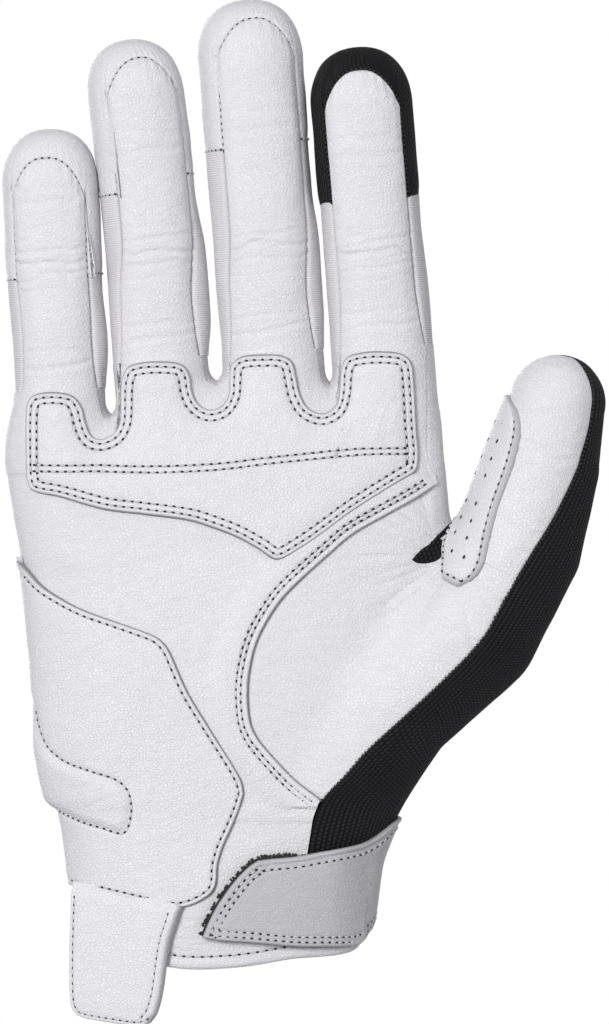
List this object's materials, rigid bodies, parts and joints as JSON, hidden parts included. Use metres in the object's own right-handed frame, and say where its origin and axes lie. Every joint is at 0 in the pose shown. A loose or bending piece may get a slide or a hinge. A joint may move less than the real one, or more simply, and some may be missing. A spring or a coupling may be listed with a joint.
{
  "type": "motorcycle glove",
  "caption": "Right-hand short-cuff riding glove in pale leather with a black knit back, jointed fingers and thumb, layered palm patches, wrist strap and pull tab.",
  "frame": {"origin": "middle of the wrist opening, where the wearer's hand goes in", "axes": "+Z along the fingers, -Y out of the palm, +X towards the thumb"},
  "size_m": [0.1503, 0.0445, 0.2551],
  "materials": {
    "white_leather": "pebbled goatskin grain, semi-matt",
    "ribbed_textile": "fine ribbed stretch textile, matt",
    "black_knit": "coarse stretch knit, matt",
    "strap_web": "silvery laminated cloth, satin",
    "hook_tape": "hook and loop tape, matt",
    "lining_cloth": "soft brushed lining, matt",
    "padding_foam": "cloth-faced foam, matt",
    "guard_rubber": "moulded soft guard, satin"
  },
  "bodies": {
    "hand": {"palm_panel": "white_leather", "thenar_panel": "white_leather", "thumb_side_panel": "black_knit", "back_panel": "black_knit", "grip_patch": "white_leather", "heel_panel": "white_leather", "heel_pad": "padding_foam", "cuff_hem": "white_leather", "lining": "lining_cloth", "knuckle_guard": "guard_rubber", "web_pinky_ring": "ribbed_textile", "web_ring_middle": "ribbed_textile", "web_middle_index": "ribbed_textile", "thumb_gusset": "black_knit", "loop_pad": "hook_tape", "strap_anchor": "strap_web"},
    "pinky_lower": {"pinky_front_lower": "white_leather", "pinky_side_right_lower": "ribbed_textile", "pinky_back_lower": "black_knit", "pinky_side_left_lower": "ribbed_textile"},
    "pinky_upper": {"pinky_front_upper": "white_leather", "pinky_back_upper": "black_knit", "pinky_tip_cap": "white_leather"},
    "ring_lower": {"ring_front_lower": "white_leather", "ring_side_right_lower": "ribbed_textile", "ring_back_lower": "black_knit", "ring_side_left_lower": "ribbed_textile"},
    "ring_upper": {"ring_front_upper": "white_leather", "ring_back_upper": "black_knit", "ring_tip_cap": "white_leather", "ring_side_right_upper": "ribbed_textile", "ring_side_left_upper": "ribbed_textile"},
    "middle_lower": {"middle_front_lower": "white_leather", "middle_side_right_lower": "ribbed_textile", "middle_back_lower": "black_knit", "middle_side_left_lower": "ribbed_textile"},
    "middle_upper": {"middle_front_upper": "white_leather", "middle_back_upper": "black_knit", "middle_tip_cap": "white_leather", "middle_side_right_upper": "ribbed_textile", "middle_side_left_upper": "ribbed_textile"},
    "index_lower": {"index_front_lower": "white_leather", "index_side_right_lower": "ribbed_textile", "index_back_lower": "black_knit", "index_side_left_lower": "ribbed_textile"},
    "index_upper": {"index_front_upper": "white_leather", "index_back_upper": "black_knit", "index_tip_cap": "black_knit", "index_side_right_upper": "ribbed_textile", "index_side_left_upper": "ribbed_textile"},
    "thumb_lower": {"thumb_front_lower": "white_leather", "thumb_back_lower": "black_knit", "thumb_crotch_patch": "white_leather"},
    "thumb_upper": {"thumb_front_upper": "white_leather", "thumb_back_upper": "black_knit", "thumb_crotch_patch_tip": "white_leather"},
    "strap": {"wrist_strap": "strap_web", "strap_hook_lining": "hook_tape"},
    "tab": {"pull_tab": "white_leather"}
  },
  "joints": [
    {"name": "pinky_base", "type": "hinge", "parent": "hand", "child": "pinky_lower", "pos_m": [-0.043, -0.0114, 0.14], "axis": [0.9989, 0, 0.0462], "range_deg": [0, 80]},
    {"name": "pinky_knuckle", "type": "hinge", "parent": "pinky_lower", "child": "pinky_upper", "pos_m": [-0.04448, -0.0114, 0.17197], "axis": [0.9989, 0, 0.0462], "range_deg": [0, 90]},
    {"name": "ring_base", "type": "hinge", "parent": "hand", "child": "ring_lower", "pos_m": [-0.018, -0.0121, 0.1475], "axis": [0.9953, 0, 0.0973], "range_deg": [0, 80]},
    {"name": "ring_knuckle", "type": "hinge", "parent": "ring_lower", "child": "ring_upper", "pos_m": [-0.02067, -0.0121, 0.17487], "axis": [0.9953, 0, 0.0973], "range_deg": [0, 90]},
    {"name": "middle_base", "type": "hinge", "parent": "hand", "child": "middle_lower", "pos_m": [0.0101, -0.0124, 0.1495], "axis": [0.9972, 0, 0.075], "range_deg": [0, 80]},
    {"name": "middle_knuckle", "type": "hinge", "parent": "middle_lower", "child": "middle_upper", "pos_m": [0.00807, -0.0124, 0.17642], "axis": [0.9972, 0, 0.075], "range_deg": [0, 90]},
    {"name": "index_base", "type": "hinge", "parent": "hand", "child": "index_lower", "pos_m": [0.0375, -0.0122, 0.1502], "axis": [0.9964, 0, 0.0848], "range_deg": [0, 80]},
    {"name": "index_knuckle", "type": "hinge", "parent": "index_lower", "child": "index_upper", "pos_m": [0.03542, -0.0122, 0.17461], "axis": [0.9964, 0, 0.0848], "range_deg": [0, 90]},
    {"name": "thumb_base", "type": "hinge", "parent": "hand", "child": "thumb_lower", "pos_m": [0.068, -0.0223, 0.0943], "axis": [0.8884, 0, -0.4591], "range_deg": [0, 35]},
    {"name": "thumb_knuckle", "type": "hinge", "parent": "thumb_lower", "child": "thumb_upper", "pos_m": [0.0786, -0.0182, 0.1245], "axis": [0.9725, 0, -0.2327], "range_deg": [0, 60]},
    {"name": "strap_hinge", "type": "hinge", "parent": "hand", "child": "strap", "pos_m": [0.0303, -0.0185, 0.014], "axis": [0, 0, 1], "range_deg": [0, 120]},
    {"name": "tab_hinge", "type": "hinge", "parent": "hand", "child": "tab", "pos_m": [-0.027, -0.0163, 0.0142], "axis": [0.9511, -0.309, 0], "range_deg": [-80, 0]}
  ]
}
